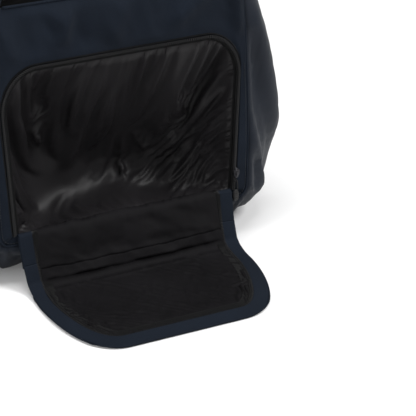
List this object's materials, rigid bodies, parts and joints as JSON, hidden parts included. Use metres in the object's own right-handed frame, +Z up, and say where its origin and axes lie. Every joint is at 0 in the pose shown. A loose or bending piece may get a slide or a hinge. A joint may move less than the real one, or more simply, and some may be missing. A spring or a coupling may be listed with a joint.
{
  "type": "racket backpack",
  "caption": "Racket backpack with a zipped main lid, padded shoulder straps and a front shoe compartment whose flap is folded down.",
  "frame": {"origin": "centre of the base, on the ground", "axes": "+Z up, -Y out of the front with the shoe opening, +X to the right seen from the front"},
  "size_m": [0.3668, 0.44, 0.543],
  "materials": {
    "navy_fabric": "matte woven polyester, dark navy",
    "satin_fabric": "satin coated nylon, grey navy",
    "black_lining": "thin glossy nylon lining",
    "black_webbing": "matte ribbed webbing",
    "air_mesh": "matte spacer mesh over foam",
    "zip_coil": "semi-matte nylon coil and tape",
    "dark_metal": "satin gunmetal",
    "black_plastic": "fine-grained moulded plastic"
  },
  "bodies": {
    "bag": {"back_pad_left": "air_mesh", "back_pad_right": "air_mesh", "back_panel": "navy_fabric", "base_board": "black_plastic", "front_panel": "navy_fabric", "handle_foot_left": "black_webbing", "handle_foot_right": "black_webbing", "left_lower_anchor": "black_webbing", "left_strap_anchor": "black_webbing", "lower_gusset": "satin_fabric", "lumbar_pad": "air_mesh", "main_chain_rear": "zip_coil", "racket_sleeve_panel": "black_lining", "right_lower_anchor": "black_webbing", "right_strap_anchor": "black_webbing", "shoe_chain": "zip_coil", "shoe_divider": "black_lining", "shoe_liner": "black_lining", "upper_gusset": "satin_fabric"},
    "lid": {"lid_front": "navy_fabric", "lid_gusset": "satin_fabric", "main_chain_lid": "zip_coil", "pocket_chain": "zip_coil", "pocket_liner": "black_lining"},
    "flap_upper": {"flap_hinge_panel": "navy_fabric"},
    "flap": {"flap_shell": "navy_fabric", "flap_lining": "black_lining", "flap_chain": "zip_coil"},
    "shoe_slider_body": {"shoe_slider": "dark_metal"},
    "shoe_pull_body": {"shoe_pull": "black_webbing"},
    "left_main_slider_body": {"main_slider_left": "dark_metal"},
    "left_main_pull_body": {"main_pull_left": "black_webbing"},
    "right_main_slider_body": {"main_slider_right": "dark_metal"},
    "right_main_pull_body": {"main_pull_right": "black_webbing"},
    "pocket_slider_body": {"pocket_slider": "dark_metal"},
    "pocket_pull_body": {"pocket_pull": "black_webbing"},
    "left_strap": {"left_shoulder_strap": "air_mesh", "left_lower_webbing": "black_webbing"},
    "left_lock": {"left_ladder_lock": "black_plastic"},
    "right_strap": {"right_shoulder_strap": "air_mesh", "right_lower_webbing": "black_webbing"},
    "right_lock": {"right_ladder_lock": "black_plastic"},
    "handle": {"grab_handle": "black_webbing"}
  },
  "joints": [
    {"name": "shoe_flap_hinge", "type": "hinge", "parent": "bag", "child": "flap_upper", "pos_m": [0, -0.1195, 0.055], "axis": [-1, 0, 0], "range_deg": [0, 159.15]},
    {"name": "shoe_flap_fold", "type": "hinge", "parent": "flap_upper", "child": "flap", "pos_m": [0, -0.1395, 0.0025], "axis": [-1, 0, 0], "range_deg": [-69.16, 0]},
    {"name": "shoe_slider_run", "type": "slide", "parent": "bag", "child": "shoe_slider_body", "axis": [0.0454, 0, 0.999], "range_m": [0, 0.105]},
    {"name": "shoe_pull_swing", "type": "hinge", "parent": "shoe_slider_body", "child": "shoe_pull_body", "pos_m": [0.12371, -0.1218, 0.06795], "axis": [0, -1, 0], "range_deg": [0, 60]},
    {"name": "main_lid_hinge", "type": "hinge", "parent": "bag", "child": "lid", "pos_m": [0, -0.118, 0.275], "axis": [1, 0, 0], "range_deg": [0, 65]},
    {"name": "pocket_slider_run", "type": "slide", "parent": "lid", "child": "pocket_slider_body", "axis": [-1, 0, 0], "range_m": [0, 0.2]},
    {"name": "pocket_pull_swing", "type": "hinge", "parent": "pocket_slider_body", "child": "pocket_pull_body", "pos_m": [0.1, -0.12075, 0.3058], "axis": [-1, 0, 0], "range_deg": [0, 90]},
    {"name": "left_main_slider_run", "type": "slide", "parent": "bag", "child": "left_main_slider_body", "axis": [-1, 0, 0], "range_m": [0, 0.036]},
    {"name": "left_main_pull_flip", "type": "hinge", "parent": "left_main_slider_body", "child": "left_main_pull_body", "pos_m": [-0.0162, 0.0393, 0.5018], "axis": [0, 1, 0], "range_deg": [0, 90]},
    {"name": "right_main_slider_run", "type": "slide", "parent": "bag", "child": "right_main_slider_body", "axis": [1, 0, 0], "range_m": [0, 0.036]},
    {"name": "right_main_pull_flip", "type": "hinge", "parent": "right_main_slider_body", "child": "right_main_pull_body", "pos_m": [0.0162, 0.0393, 0.5018], "axis": [0, -1, 0], "range_deg": [0, 90]},
    {"name": "left_strap_swing", "type": "hinge", "parent": "bag", "child": "left_strap", "pos_m": [-0.062, 0.1318, 0.442], "axis": [-0.0748, -0.0045, -0.9972], "range_deg": [-15, 20]},
    {"name": "left_lock_tilt", "type": "hinge", "parent": "left_strap", "child": "left_lock", "pos_m": [-0.072, 0.148, 0.1615], "axis": [1, 0, 0], "range_deg": [0, 30]},
    {"name": "right_strap_swing", "type": "hinge", "parent": "bag", "child": "right_strap", "pos_m": [0.062, 0.1318, 0.442], "axis": [0.0748, -0.0045, -0.9972], "range_deg": [-20, 15]},
    {"name": "right_lock_tilt", "type": "hinge", "parent": "right_strap", "child": "right_lock", "pos_m": [0.072, 0.148, 0.1615], "axis": [1, 0, 0], "range_deg": [0, 30]},
    {"name": "grab_handle_tilt", "type": "hinge", "parent": "bag", "child": "handle", "pos_m": [0, 0.09, 0.508], "axis": [1, 0, 0], "range_deg": [-75, 75]}
  ],
  "couplings": [
    {"joint": "shoe_flap_fold", "follows": "shoe_flap_hinge", "ratio": -0.43448}
  ]
}
